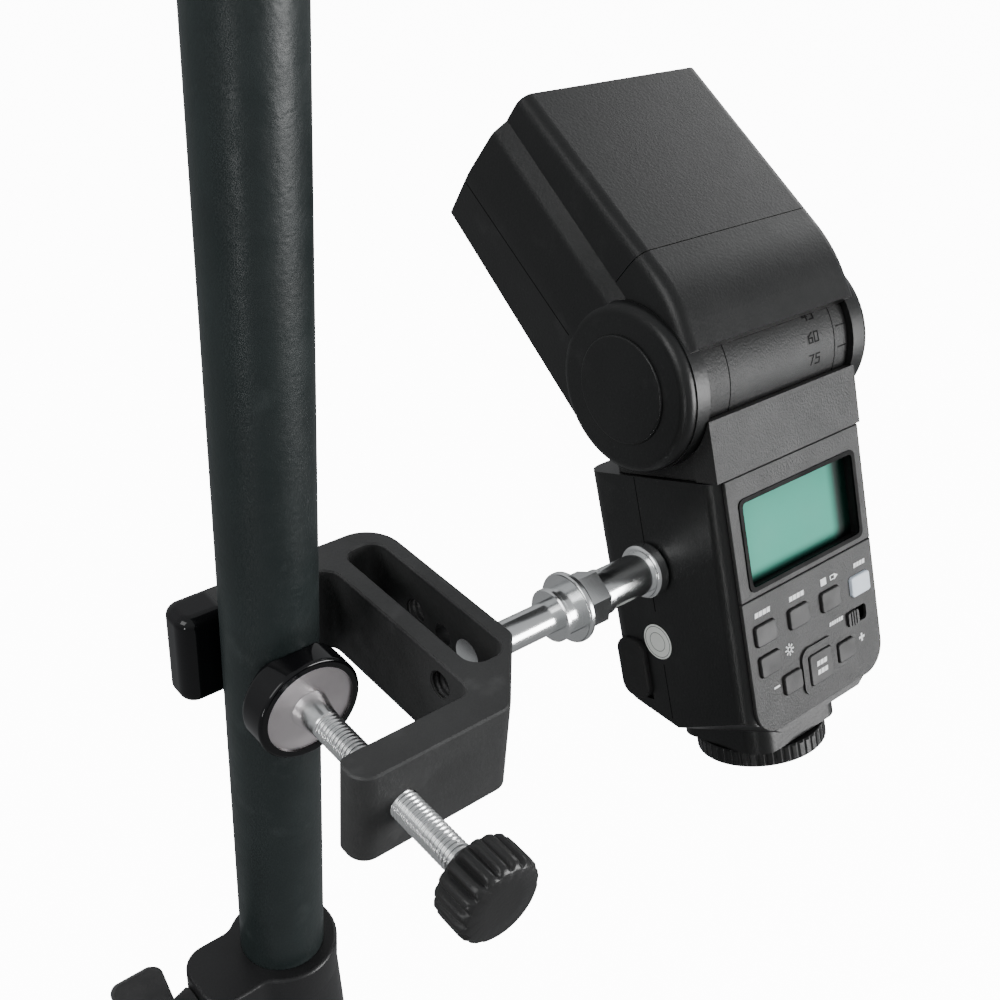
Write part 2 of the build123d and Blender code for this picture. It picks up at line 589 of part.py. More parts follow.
def in_head(shape):
    """Move a shape from the head's frame (z along the beam, -y towards the top cover)."""
    return in_flash(at_pivot(Rot(-HEAD_TILT, 0, 0) * shape))


def rounded_at(plan, corners):
    """Round the corners of a flat face, each given as x, y and radius."""
    for x, y, radius in corners:
        plan = fillet(plan.vertices().sort_by_distance((x, y, 0))[0], radius)
    return plan


def head_profile():
    """Side view of the head, drawn about the tilt axis and extruded across."""
    outline = Polyline((-10.0, -6.0), (-25.8, -6.0), (-31.2, 9.0), (-27.4, HEAD_LENGTH),
                       (22.6, HEAD_LENGTH), (24.9, 2.0), (0, 0), close=True)
    side = rounded_at(make_face(outline), [(-31.2, 9.0, 42.0)])
    return Pos(-20, 0, 0) * extrude(Plane.YZ * side, amount=BODY_W + 40)


def head_section(points, corners):
    """Cross-section drawn as half-width against depth, mirrored about the middle."""
    half = [(MID_X + w, y) for w, y in points]
    other = [(MID_X - w, y) for w, y in reversed(points)]
    face = make_face(Polyline(*half, *other, close=True))
    both = [(MID_X + way * w, y, radius) for w, y, radius in corners for way in (-1, 1)]
    return Pos(0, 0, -60) * extrude(rounded_at(face, both), amount=200)


def head_inside():
    """Space inside the head, open at the lens end."""
    side = MID_X - 1.0
    space = Pos(MID_X, -1.5, 58) * Box(2 * side, 42, 60)
    return space + Pos(MID_X, -19, 66) * Box(58, 12, 80)


def ears(outer_u, inner_u, radius):
    """A pair of discs at the ends of the tilt axis."""
    left = along_x(rod(radius, -outer_u, -inner_u))
    right = along_x(rod(radius, BODY_W + inner_u, BODY_W + outer_u))
    return left, right


def head_lower_shell():
    half = MID_X
    bulge, waist = (half + 6.9, -12.6), (half + HEAD_SIDE, 4.0)
    shape = head_section(
        [(half + COVER_SIDE - 0.3, SHELL_SPLIT), bulge, waist, (half + 4.8, 30.0)],
        [(*bulge, 4.0), (*waist, 30.0)])
    shape = shape & head_profile()
    shape -= head_inside()
    gap = along_x(rod(EAR_R, -COVER_SIDE, BODY_W + COVER_SIDE))
    shape -= gap
    left, right = ears(HEAD_SIDE, COVER_SIDE, EAR_R - 0.4)
    shape += fillet(left.edges().group_by(Axis.X)[0], 3.0)
    shape += fillet(right.edges().group_by(Axis.X)[-1], 3.0)
    return in_head(shape)


def head_cover(rear):
    """Top cover ahead of the seam, or the rear cover with the ears behind it."""
    half = MID_X + COVER_SIDE
    shape = head_section([(half - 1.4, -40.0), (half, -24.0), (half, SHELL_SPLIT)], [(half, -24.0, 12.0)])
    shape = shape & head_profile()
    side_edges = shape.edges().filter_by(lambda edge: abs(edge.center().X - MID_X) > 30)
    upper = side_edges.filter_by(lambda edge: edge.center().Y < -25 and edge.length > 5)
    shape = fillet(upper, COVER_EDGE_R)
    shape -= head_inside()
    if not rear:
        return in_head(shape & block(-20, 90, -50, 50, HEAD_SEAM_Z + 0.12, 200))
    shape = shape & block(-20, 90, -50, 50, -50, HEAD_SEAM_Z - 0.12)
    shape -= along_x(rod(DRUM_R + 1.0, -20, 90))
    inner = -1.0
    left, right = ears(COVER_SIDE, inner, EAR_R)
    shape += left + right
    pins = along_x(rod(PIVOT_PIN_R, -inner, 5.5)) + along_x(rod(PIVOT_PIN_R, BODY_W - 5.5, BODY_W + inner))
    return in_head(shape + pins)


def head_pivot_caps():
    """Low domed discs over the ends of the tilt axis."""
    left = along_x(rod(15.8, -HEAD_SIDE - 0.8, -HEAD_SIDE))
    right = along_x(rod(15.8, BODY_W + HEAD_SIDE, BODY_W + HEAD_SIDE + 0.8))
    left = fillet(left.edges().group_by(Axis.X)[0], 0.6)
    right = fillet(right.edges().group_by(Axis.X)[-1], 0.6)
    return in_head(Compound(children=[left, right]))


def head_lens():
    """Flat ribbed lens that closes the lamp opening."""
    plate = Pos(MID_X, 2.9, HEAD_LENGTH - 3.2) * Box(62.8, 33.0, 2.6)
    for rib in range(-7, 8):
        plate -= Pos(MID_X, 2.9 + 2.1 * rib, HEAD_LENGTH - 1.9) * Box(70, 0.7, 0.8)
    return in_head(plate)


def flash_tube():
    """Straight xenon tube across the head."""
    return in_head(Pos(0, 2.9, 50) * along_x(rod(3.0, 8, BODY_W - 8)))


def slide_card(y, thickness, width, length):
    """Card stowed in the head's upper slot, with a pull tab at its end."""
    card = Pos(MID_X, y, HEAD_LENGTH - 1 - length / 2) * Box(width, thickness, length)
    tab = Pos(MID_X, y, HEAD_LENGTH - 0.6) * Box(14, thickness + 0.6, 2.4)
    return in_head(card + tab)


# ---------------------------------------------------------------- write the parts
PARTS = {
    "column_tube": column_tube,
    "column_foot": column_foot,
    "leg_lock_knob": leg_lock_knob,
    "column_collar": lambda: collar(COLLAR_1_TOP, COLUMN_R, RISER_1_R, 19.2),
    "wing_knob_1": lambda: wing_knob(COLLAR_1_TOP, RISER_1_R, 35.0, -20.0),
    "riser_1_bush": lambda: riser_bush(
        COLUMN_R - COLUMN_WALL - RUN_FIT, RISER_1_R - RISER_1_WALL, RISER_1_BOTTOM),
    "riser_1_tube": riser_1_tube,
    "riser_collar": lambda: collar(COLLAR_2_TOP, RISER_1_R, RISER_2_R, 16.6),
    "wing_knob_2": lambda: wing_knob(COLLAR_2_TOP, RISER_2_R, 30.0, 47.0),
    "riser_2_bush": lambda: riser_bush(
        RISER_1_R - RISER_1_WALL - RUN_FIT, RISER_2_R - RISER_2_WALL, RISER_2_BOTTOM),
    "riser_2_tube": riser_2_tube,
    "top_stud": top_stud,
    "clamp_frame": clamp_frame,
    "jaw_cap": jaw_cap,
    "pad_disc": pad_disc,
    "pad_cap": pad_cap,
    "clamp_screw": clamp_screw,
    "clamp_knob": clamp_knob,
    "spigot_shaft": spigot_shaft,
    "spigot_body": spigot_body,
    "body_front_shell": lambda: body_half(True),
    "body_rear_shell": lambda: body_half(False),
    "display_panel": display_panel,
    "keypad_panel": keypad_panel,
    "display": display,
    "option_switch": option_switch,
    "side_bush": side_bush,
    "port_cover": port_cover,
    "sensor_window": sensor_window,
    "battery_door": battery_door,
    "batteries": batteries,
    "foot_block": foot_block,
    "lock_wheel": lock_wheel,
    "hot_shoe": hot_shoe,
    "neck_yoke": neck_yoke,
    "head_lower_shell": head_lower_shell,
    "head_top_cover": lambda: head_cover(False),
    "head_rear_cover": lambda: head_cover(True),
    "head_pivot_caps": head_pivot_caps,
    "head_lens": head_lens,
    "flash_tube": flash_tube,
    "bounce_card": lambda: slide_card(-22.6, 0.6, 48, 48),
    "wide_panel": lambda: slide_card(-20.2, 1.2, 52, 44),
}

for number in range(3):
    save(leg_ring(number), f"leg_{number + 1}_ring")
    save(leg_tube(number), f"leg_{number + 1}_tube")
    save(leg_foot(number), f"leg_{number + 1}_foot")
for name in KEYS:
    save(key(name), name)
for name, build in PARTS.items():
    save(build(), name)
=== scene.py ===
"""Looks of the C-stand with its clamp, spigot and flash unit, in the CAD part's own frame (metres)."""
import json
import math

import bpy
from mathutils import Matrix, Vector


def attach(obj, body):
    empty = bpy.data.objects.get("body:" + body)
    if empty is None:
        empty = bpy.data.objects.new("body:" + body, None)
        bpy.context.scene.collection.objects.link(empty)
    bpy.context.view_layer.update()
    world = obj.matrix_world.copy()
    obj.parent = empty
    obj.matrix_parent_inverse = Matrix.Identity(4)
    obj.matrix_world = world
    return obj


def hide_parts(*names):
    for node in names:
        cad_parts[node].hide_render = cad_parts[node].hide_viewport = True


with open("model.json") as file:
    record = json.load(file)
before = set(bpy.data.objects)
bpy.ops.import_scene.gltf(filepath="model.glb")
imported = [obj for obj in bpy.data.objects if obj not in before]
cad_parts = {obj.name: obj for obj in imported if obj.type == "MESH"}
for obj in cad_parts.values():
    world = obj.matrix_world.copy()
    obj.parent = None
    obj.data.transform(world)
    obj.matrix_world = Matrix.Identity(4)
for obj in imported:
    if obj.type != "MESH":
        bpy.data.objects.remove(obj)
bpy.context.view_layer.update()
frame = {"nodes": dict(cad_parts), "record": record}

MM = 0.001

# ---- camera of the photograph ----
CAMERA_AT = Vector((-127.22, -222.80, 719.26)) * MM
LOOK = Vector((0.56528, 0.62191, -0.54193)).normalized()
ROLL = math.radians(4.534)
LENS = 45.615

# ---- the CAD part's frames ----
FLASH = Matrix.Translation((115.3, -25.1, 500.0)) @ Matrix.Rotation(math.radians(-22.35), 4, "X")
CLAMP_Z = 500.0
PANEL_FACE = -31.6          # front of the display and key panels, flash frame y
KEY_PROUD = 1.3             # keys stand this proud of the key panel
BODY_W, BODY_TOP = 65.0, 28.6
HEAD_SIDE, SHELL_WAIST_Y = 7.6, 4.0      # the head's lower shell is widest here
PIVOT_Y, PIVOT_Z = -8.0, 57.0            # tilt axis of the head, flash frame
HEAD = FLASH @ Matrix.Translation((0, PIVOT_Y, PIVOT_Z)) @ Matrix.Rotation(math.radians(-35.5), 4, "X")
DRUM_R = 23.2

INK_PROUD = 0.07            # printed marks stand this proud of their face
SEAM_PROUD = 0.03


# ---------------------------------------------------------------- materials
def value(node, name, amount):
    node.inputs[name].default_value = amount


def material(name, colour, rough, metal=0.0, mottle=0.12, mottle_scale=60.0, spread=0.06,
             grain=0.0, grain_scale=1500.0, wear=0.0, through=0.0, ior=1.45, level=0.5):
    """Principled surface with mottled colour, uneven roughness, grain bump and faint scuffs."""
    m = bpy.data.materials.new(name)
    m.use_nodes = True
    tree = m.node_tree
    nodes, links = tree.nodes, tree.links
    shader = nodes["Principled BSDF"]
    place = nodes.new("ShaderNodeTexCoord")

    def noise(scale, detail):
        n = nodes.new("ShaderNodeTexNoise")
        value(n, "Scale", scale)
        value(n, "Detail", detail)
        links.new(place.outputs["Object"], n.inputs["Vector"])
        return n.outputs["Fac"]

    def spread_to(fac, low, high, start=0.3, end=0.7):
        r = nodes.new("ShaderNodeMapRange")
        value(r, "From Min", start)
        value(r, "From Max", end)
        value(r, "To Min", low)
        value(r, "To Max", high)
        links.new(fac, r.inputs["Value"])
        return r.outputs["Result"]

    def blend(fac, a, b):
        mix = nodes.new("ShaderNodeMix")
        mix.data_type = "RGBA"
        links.new(fac, mix.inputs["Factor"])
        sockets = [s for s in mix.inputs if s.type == "RGBA"]
        for socket, colour_or_link in zip(sockets, (a, b)):
            if isinstance(colour_or_link, tuple):
                socket.default_value = (*colour_or_link, 1)
            else:
                links.new(colour_or_link, socket)
        return [s for s in mix.outputs if s.type == "RGBA"][0]

    dark = tuple(c * (1 - mottle) for c in colour)
    light = tuple(min(1.0, c * (1 + mottle)) for c in colour)
    tint = blend(spread_to(noise(mottle_scale, 4.0), 0, 1), dark, light)
    rough_out = spread_to(noise(mottle_scale * 2.3, 3.0), max(0.02, rough - spread), rough + spread)
    if wear:
        scuffs = spread_to(noise(90.0, 8.0), 0, wear, 0.60, 0.72)
        worn = tuple(min(1.0, c * 1.6 + 0.03) for c in colour)
        tint = blend(scuffs, tint, worn)
        rougher = nodes.new("ShaderNodeMath")
        rougher.operation = "MULTIPLY_ADD"
        links.new(scuffs, rougher.inputs[0])
        rougher.inputs[1].default_value = 0.15
        links.new(rough_out, rougher.inputs[2])
        rough_out = rougher.outputs[0]
    links.new(tint, shader.inputs["Base Color"])
    links.new(rough_out, shader.inputs["Roughness"])
    value(shader, "Metallic", metal)
    value(shader, "IOR", ior)
    value(shader, "Specular IOR Level", level)
    if through:
        value(shader, "Transmission Weight", through)
    if grain:
        bump = nodes.new("ShaderNodeBump")
        value(bump, "Strength", 1.0)
        value(bump, "Distance", grain * MM)
        links.new(noise(grain_scale, 2.0), bump.inputs["Height"])
        links.new(bump.outputs["Normal"], shader.inputs["Normal"])
    return m


FINISHES = {
    "tube_black": dict(colour=(0.011, 0.016, 0.016), rough=0.42, grain=0.09, grain_scale=620, wear=0.25),
    "cast_black": dict(colour=(0.028, 0.0285, 0.0285), rough=0.50, grain=0.07, grain_scale=900, wear=0.3),
    "moulded_black": dict(colour=(0.010, 0.010, 0.0105), rough=0.38, grain=0.04, grain_scale=1100),
    "knob_black": dict(colour=(0.014, 0.014, 0.014), rough=0.36, grain=0.04, grain_scale=1300),
    "rubber": dict(colour=(0.014, 0.014, 0.014), rough=0.7, grain=0.05, grain_scale=900),
    "gloss_rubber": dict(colour=(0.003, 0.003, 0.0035), rough=0.09, spread=0.03, grain=0.02, grain_scale=220),
    "nylon": dict(colour=(0.68, 0.67, 0.61), rough=0.5, grain=0.02),
    "zinc": dict(colour=(0.90, 0.91, 0.91), rough=0.24, metal=1.0, mottle=0.08, grain=0.02, grain_scale=1200),
    "steel": dict(colour=(0.93, 0.865, 0.875), rough=0.42, metal=1.0, mottle=0.08, grain=0.015,
                  grain_scale=900, wear=0.3),
    "chrome": dict(colour=(0.88, 0.89, 0.89), rough=0.20, metal=1.0, mottle=0.04, spread=0.04,
                   grain=0.004, grain_scale=300),
    "flash_black": dict(colour=(0.007, 0.0073, 0.0073), rough=0.37, spread=0.025, grain=0.05,
                        grain_scale=1100, wear=0.12),
    "panel_grey": dict(colour=(0.018, 0.0182, 0.018), rough=0.48, spread=0.02, grain=0.14, grain_scale=1500,
                       level=0.42),
    "display_green": dict(colour=(0.05, 0.40, 0.29), rough=0.40, mottle=0.06, mottle_scale=35, spread=0.04,
                          grain=0.002, grain_scale=500, level=0.12),
    "key_black": dict(colour=(0.016, 0.016, 0.016), rough=0.5, grain=0.03, grain_scale=1200),
    "key_white": dict(colour=(0.62, 0.69, 0.78), rough=0.35, mottle=0.05, grain=0.01, grain_scale=900),
    "dark_window": dict(colour=(0.05, 0.004, 0.006), rough=0.08, spread=0.03, grain=0.002, grain_scale=400),
    "battery_sleeve": dict(colour=(0.45, 0.45, 0.47), rough=0.3, grain=0.01),
    "lens_clear": dict(colour=(0.93, 0.94, 0.96), rough=0.08, mottle=0.02, spread=0.03, grain=0.006,
                       grain_scale=500, through=0.9, ior=1.49),
    "tube_glass": dict(colour=(0.92, 0.94, 0.97), rough=0.06, mottle=0.02, spread=0.02, grain=0.002,
                       grain_scale=500, through=0.85),
    "card_white": dict(colour=(0.82, 0.82, 0.81), rough=0.55, mottle=0.03, grain=0.01),
}
SLOTS = {name: material(name, **look) for name, look in FINISHES.items()}

MARK_WHITE = material("mark_white", (0.85, 0.86, 0.86), 0.5, mottle=0.06, grain=0.005)
# Near-black of the shell seams and drum lines, also used as painted shade on the plates inside the gaps.
SEAM_DARK_AND_GAP_SHADE = material("seam_dark_and_gap_shade", (0.002, 0.002, 0.002), 0.8, mottle=0.2, grain=0.01, level=0.08)
RIM_BLACK = material("rim_black", (0.003, 0.003, 0.0032), 0.5, grain=0.005, level=0.08)
MARK_DARK = material("mark_dark", (0.005, 0.005, 0.005), 0.6, mottle=0.15, grain=0.005, level=0.12)
LABEL_PALE = material("label_pale", (0.78, 0.80, 0.76), 0.45, mottle=0.06, grain=0.01)
LABEL_INK = material("label_ink", (0.10, 0.10, 0.10), 0.5, mottle=0.15, grain=0.005)


def shade_display(look):
    """Darken the display's right and lower edges, where its rim keeps the light off."""
    nodes, links = look.node_tree.nodes, look.node_tree.links
    shader = nodes["Principled BSDF"]
    tint = shader.inputs["Base Color"].links[0].from_socket
    place = nodes.new("ShaderNodeTexCoord")
    shades = []
    for direction, start, end, low, high in ((FLASH.col[0].xyz, 49.5, 54.5, 1.0, 0.04),
                                             (FLASH.col[2].xyz, -5.0, -0.5, 0.04, 1.0)):
        reach = nodes.new("ShaderNodeVectorMath")
        reach.operation = "DOT_PRODUCT"
        links.new(place.outputs["Object"], reach.inputs[0])
        reach.inputs[1].default_value = direction
        ramp = nodes.new("ShaderNodeMapRange")
        ramp.interpolation_type = "SMOOTHSTEP"
        origin = FLASH.translation.dot(direction)
        for socket, amount in (("From Min", (origin + start) * MM), ("From Max", (origin + end) * MM),
                               ("To Min", low), ("To Max", high)):
            value(ramp, socket, amount)
        links.new(reach.outputs["Value"], ramp.inputs["Value"])
        shades.append(ramp.outputs["Result"])
    both = nodes.new("ShaderNodeMath")
    both.operation = "MULTIPLY"
    links.new(shades[0], both.inputs[0])
    links.new(shades[1], both.inputs[1])
    shaded = nodes.new("ShaderNodeVectorMath")
    shaded.operation = "SCALE"
    links.new(tint, shaded.inputs[0])
    links.new(both.outputs[0], shaded.inputs["Scale"])
    links.new(shaded.outputs[0], shader.inputs["Base Color"])


shade_display(SLOTS["display_green"])

for part in frame["record"]["subparts"]:
    faces = frame["nodes"][part["node"]].data
    faces.materials.clear()
    faces.materials.append(SLOTS[part["material_slot"]])


# ---------------------------------------------------------------- mesh helpers
def piece(name, points, faces, look, body, sharp=35.0):
    """Mesh from points in millimetres, riding on a CAD body."""
    mesh = bpy.data.meshes.new(name)
    mesh.from_pydata([Vector(p) * MM for p in points], [], faces)
    mesh.validate()
    mesh.polygons.foreach_set("use_smooth", [True] * len(mesh.polygons))
    mesh.set_sharp_from_angle(angle=math.radians(sharp))
    mesh.materials.append(look)
    made = bpy.data.objects.new(name, mesh)
    bpy.context.scene.collection.objects.link(made)
    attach(made, body)
    return made


def on_panel(u, v, h):
    """Point on the display side: u across, v up, h proud."""
    return FLASH @ Vector((u, PANEL_FACE - h, v))


def on_side(y, z, h):
    """Point on the flash unit's spigot side."""
    return FLASH @ Vector((-h, y, z))


def on_drum(u, degrees, h):
    """Point on the tilting drum, degrees from the top towards the display."""
    turn = math.radians(degrees)
    reach = DRUM_R + h
    return FLASH @ Vector((u, PIVOT_Y - reach * math.sin(turn), PIVOT_Z + reach * math.cos(turn)))


def plates(outlines, place, height, sink=0.06):
    """Points and faces of flat raised outlines, each outline counter-clockwise in u, v."""
    points, faces = [], []
    for outline in outlines:
        start, n = len(points), len(outline)
        points += [place(u, v, height) for u, v in outline]
        points += [place(u, v, -sink) for u, v in outline]
        faces.append([start + i for i in range(n)])
        faces.append([start + n + i for i in reversed(range(n))])
        for i in range(n):
            j = (i + 1) % n
            faces.append([start + i, start + n + i, start + n + j, start + j])
    return points, faces


def rectangle(u, v, width, height):
    """Outline of a rectangle about its middle."""
    a, b = width / 2, height / 2
    return [(u - a, v - b), (u + a, v - b), (u + a, v + b), (u - a, v + b)]


def disc(u, v, radius, count):
    """Outline of a circle about its middle."""
    return [(u + radius * math.cos(2 * math.pi * i / count), v + radius * math.sin(2 * math.pi * i / count))
            for i in range(count)]


def ring(name, outer, inner, place, height, look, body, sink=0.06):
    """Raised band between two outlines with equal counts."""
    n = len(outer)
    points = [place(u, v, height) for u, v in outer] + [place(u, v, height) for u, v in inner]
    points += [place(u, v, -sink) for u, v in outer] + [place(u, v, -sink) for u, v in inner]
    faces = []
    for i in range(n):
        j = (i + 1) % n
        faces.append([i, j, n + j, n + i])
        faces.append([2 * n + j, 2 * n + i, 3 * n + i, 3 * n + j])
        faces.append([j, i, 2 * n + i, 2 * n + j])
        faces.append([n + i, n + j, 3 * n + j, 3 * n + i])
    return piece(name, points, faces, look, body)


def rounded(u0, u1, v0, v1, radius, steps=6):
    """Outline of a rounded rectangle, counter-clockwise."""
    outline = []
    for cu, cv, start in ((u1 - radius, v0 + radius, -90), (u1 - radius, v1 - radius, 0),
                          (u0 + radius, v1 - radius, 90), (u0 + radius, v0 + radius, 180)):
        for k in range(steps + 1):
            turn = math.radians(start + 90 * k / steps)
            outline.append((cu + radius * math.cos(turn), cv + radius * math.sin(turn)))
    return outline


def turned(rows, count):
    """Faces of a closed grid of rings, with a cap at each end."""
    faces = []
    for r in range(rows - 1):
        for i in range(count):
            j = (i + 1) % count
            faces.append([r * count + i, r * count + j, (r + 1) * count + j, (r + 1) * count + i])
    faces.append(list(reversed(range(count))))
    faces.append([(rows - 1) * count + i for i in range(count)])
    return faces


# ---------------------------------------------------------------- clamp screw and knob
def clamp_axis(x, z, depth):
    """Point about the clamp's screw axis; depth runs from the pole towards the knob."""
    return Vector((x, -depth, CLAMP_Z + z))


PITCH, CREST, ROOT = 1.25, 3.93, 3.33
FLARE, FLARE_START, FLARE_STEPS = 1.3, 18.3, 8
THREAD_START, THREAD_END = 25.6, 83.4
STEPS_PER_PITCH, RUN_IN_STEPS = 10, 12
AROUND = 28


def screw():
    """Coarse thread with a smooth flare where it meets the pressure disc."""
    rows = []                   # depth, radius of the crest, share of the full thread depth
    for k in range(FLARE_STEPS + 1):
        t = k / FLARE_STEPS
        rows.append((FLARE_START + (THREAD_START - FLARE_START) * t, CREST + FLARE * (1 - t) ** 1.2, 0.0))
    step = PITCH / STEPS_PER_PITCH
    for k in range(1, int((THREAD_END - THREAD_START) / step) + 1):
        rows.append((THREAD_START + k * step, CREST, min(1.0, k / RUN_IN_STEPS)))
    points = []
    for depth, crest, cut in rows:
        for i in range(AROUND):
            phase = (depth / PITCH - i / AROUND) % 1.0
            flank = min(1.0, max(0.0, (abs(phase - 0.5) * 2 - 0.14) / 0.72))
            r = crest - (CREST - ROOT) * (1 - flank) * cut
            turn = 2 * math.pi * i / AROUND
            points.append(clamp_axis(r * math.cos(turn), r * math.sin(turn), depth))
    return points, turned(len(rows), AROUND)


points, faces = screw()
thread = piece("clamp_screw_thread", points, faces, SLOTS["zinc"], "clamp_screw", sharp=60)
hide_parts("clamp_screw")

KNOB_R, KNOB_BACK, KNOB_FACE = 11.2, 82.9, 94.2
FLUTES, FLUTE_DEPTH, STEPS_PER_FLUTE = 18, 1.3, 12


def knob():
    """Fluted grip with a smooth bevelled face."""
    count = FLUTES * STEPS_PER_FLUTE
    profile = [  # depth, radius, share of the flute depth
        (KNOB_BACK, 4.6, 0.0), (KNOB_BACK, 9.6, 0.0), (KNOB_BACK + 0.35, 10.5, 0.6),
        (KNOB_BACK + 1.1, KNOB_R - 0.1, 1.0), (KNOB_BACK + 3.0, KNOB_R, 1.0), (KNOB_FACE - 3.0, KNOB_R, 1.0),
        (KNOB_FACE - 1.5, KNOB_R - 0.15, 0.95), (KNOB_FACE - 0.7, KNOB_R - 0.7, 0.55),
        (KNOB_FACE - 0.25, KNOB_R - 1.3, 0.15), (KNOB_FACE, KNOB_R - 1.75, 0.0), (KNOB_FACE, 5.0, 0.0),
    ]
    points = []
    for depth, radius, share in profile:
        for i in range(count):
            turn = 2 * math.pi * i / count
            valley = abs(math.cos(FLUTES * turn / 2)) ** 5
            r = radius - FLUTE_DEPTH * share * valley
            points.append(clamp_axis(r * math.cos(turn), r * math.sin(turn), depth))
    return points, turned(len(profile), count)


points, faces = knob()
grip = piece("clamp_knob_grip", points, faces, SLOTS["knob_black"], "clamp_screw", sharp=50)
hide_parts("clamp_knob")


BORE_R, BORE_PITCH, BORE_RIDGE = 4.0, 1.5875, 0.42


def bore_thread(name, y, z, start, end):
    """Thread inside one of the spine's 3/8 inch holes, as a sleeve along X."""
    def at(x, r, share):
        turn = 2 * math.pi * share
        return (x, y + r * math.cos(turn), CLAMP_Z + z + r * math.sin(turn))

    rows = round((end - start) / BORE_PITCH * STEPS_PER_PITCH)
    points = []
    for k in range(rows + 1):
        x = start + (end - start) * k / rows
        for i in range(AROUND):
            ridge = 1.0 - abs(((x / BORE_PITCH - i / AROUND) % 1.0) - 0.5) * 2
            points.append(at(x, BORE_R - 0.02 - BORE_RIDGE * ridge, i / AROUND))
    for x in (start, end):
        points += [at(x, BORE_R + 0.06, i / AROUND) for i in range(AROUND)]
    faces, first, last = [], (rows + 1) * AROUND, (rows + 2) * AROUND
    for i in range(AROUND):
        j = (i + 1) % AROUND
        for k in range(rows):
            faces.append([k * AROUND + i, (k + 1) * AROUND + i, (k + 1) * AROUND + j, k * AROUND + j])
        faces.append([i, j, first + j, first + i])
        faces.append([first + i, first + j, last + j, last + i])
        faces.append([last + i, last + j, rows * AROUND + j, rows * AROUND + i])
    piece(name, points, faces, SLOTS["cast_black"], "clamp", sharp=60)


bore_thread("spare_hole_thread", -2.0, 0.0, 45.2, 49.8)
bore_thread("inner_hole_thread", -36.0, 6.5, 27.4, 33.0)


# ---------------------------------------------------------------- display side
ring("display_rim", rounded(7.2, 59.8, -6.0, 22.0, 2.2), rounded(8.6, 58.4, -4.7, 20.7, 1.4),
     on_panel, 0.35, RIM_BLACK, "flash_body", sink=0.4)


def word(u, v, width, height, letters, slant=0.25):
    """Row of short raised strokes standing for a printed word."""
    gap = 0.28
    one = (width - gap * (letters - 1)) / letters
    marks = []
    for k in range(letters):
        left = u - width / 2 + k * (one + gap)
        low, high = v - height / 2, v + height / 2
        marks.append([(left, low), (left + one, low), (left + one + slant, high), (left + slant, high)])
    return marks


MARKS = (
    word(10.9, -13.0, 6.6, 1.5, 4) + word(26.2, -13.6, 6.6, 1.5, 4) + word(56.4, -14.0, 5.4, 1.4, 4)
    + word(42.6, -28.0, 6.4, 1.2, 6)
    + [rectangle(39.0, -13.8, 2.6, 2.2), rectangle(42.4, -13.8, 0.35, 1.4), rectangle(43.3, -13.15, 1.6, 0.3),
       rectangle(43.3, -14.45, 1.6, 0.3), [(44.2, -14.8), (45.9, -13.8), (44.2, -12.8)]]
    + [rectangle(13.0, -37.4, 2.6, 0.6)]
    + [rectangle(53.9, -37.6, 2.6, 0.7), rectangle(53.9, -37.6, 0.7, 2.6)]
)
points, faces = plates(MARKS, on_panel, INK_PROUD)
piece("key_marks", points, faces, MARK_WHITE, "flash_body")

# A small sun beside the light key: a ring with eight rays.
SUN_U, SUN_V = 20.4, -28.4
rays = []
for k in range(8):
    turn = math.radians(45 * k)
    cos, sin = math.cos(turn), math.sin(turn)
    corners = ((1.15, -0.22), (1.9, -0.22), (1.9, 0.22), (1.15, 0.22))
    rays.append([(SUN_U + a * cos - b * sin, SUN_V + a * sin + b * cos) for a, b in corners])
points, faces = plates(rays, on_panel, INK_PROUD)
piece("sun_rays", points, faces, MARK_WHITE, "flash_body")
ring("sun_ring", disc(SUN_U, SUN_V, 0.95, 24), disc(SUN_U, SUN_V, 0.6, 24), on_panel, INK_PROUD,
     MARK_WHITE, "flash_body")


def on_set_key(u, v, h):
    """Point on the face of the set key."""
    return on_panel(u, v, KEY_PROUD + h)


points, faces = plates(word(32.4, -36.9, 4.6, 1.5, 3) + word(32.4, -39.7, 4.6, 1.5, 3), on_set_key, INK_PROUD)
piece("set_key_marks", points, faces, MARK_WHITE, "key_set")

# ---------------------------------------------------------------- round label and seams
LABEL_Y, LABEL_Z, LABEL_COUNT = 2.1, -24.6, 64
points, faces = plates([disc(LABEL_Y, LABEL_Z, 5.7, LABEL_COUNT)], on_side, 0.12)
piece("round_label", points, faces, LABEL_PALE, "flash_body")
for name, outer, inner in (("label_ring_outer", 5.15, 4.95), ("label_ring_inner", 3.15, 2.98)):
    ring(name, disc(LABEL_Y, LABEL_Z, outer, LABEL_COUNT), disc(LABEL_Y, LABEL_Z, inner, LABEL_COUNT),
         on_side, 0.15, LABEL_INK, "flash_body")

# The seam between the shells, broken on the spigot side by the bush and the label.
SEAM_Y, SEAM_W = 1.0, 0.26
lengths = ((17.7, 21.4), (-11.0, 6.8), (-41.2, 18.4))       # middle, length
points, faces = plates([rectangle(SEAM_Y, middle, SEAM_W, length) for middle, length in lengths],
                       on_side, SEAM_PROUD)
piece("shell_seam_left", points, faces, SEAM_DARK_AND_GAP_SHADE, "flash_body")
points, faces = plates([rectangle(SEAM_Y, 0.0, SEAM_W, 56.0)],
                       lambda y, z, h: FLASH @ Vector((BODY_W + h, y, z)), SEAM_PROUD)
piece("shell_seam_right", points, faces, SEAM_DARK_AND_GAP_SHADE, "flash_body")


def on_shell_side(mirror):
    """Placer on a side of the head's lower shell, which leans in below its waist."""
    def place(y, z, h):
        out = HEAD_SIDE - (y - SHELL_WAIST_Y) * 2.8 / 26.0 + h
        return HEAD @ Vector((BODY_W + out if mirror else -out, y, z))
    return place


HEAD_SEAM = [(5.9, 23.4), (6.2, 23.4), (7.75, 82.3), (7.45, 82.3)]
for name, mirror in (("head_seam_left", False), ("head_seam_right", True)):
    points, faces = plates([HEAD_SEAM], on_shell_side(mirror), SEAM_PROUD)
    piece(name, points, faces, SEAM_DARK_AND_GAP_SHADE, "head")
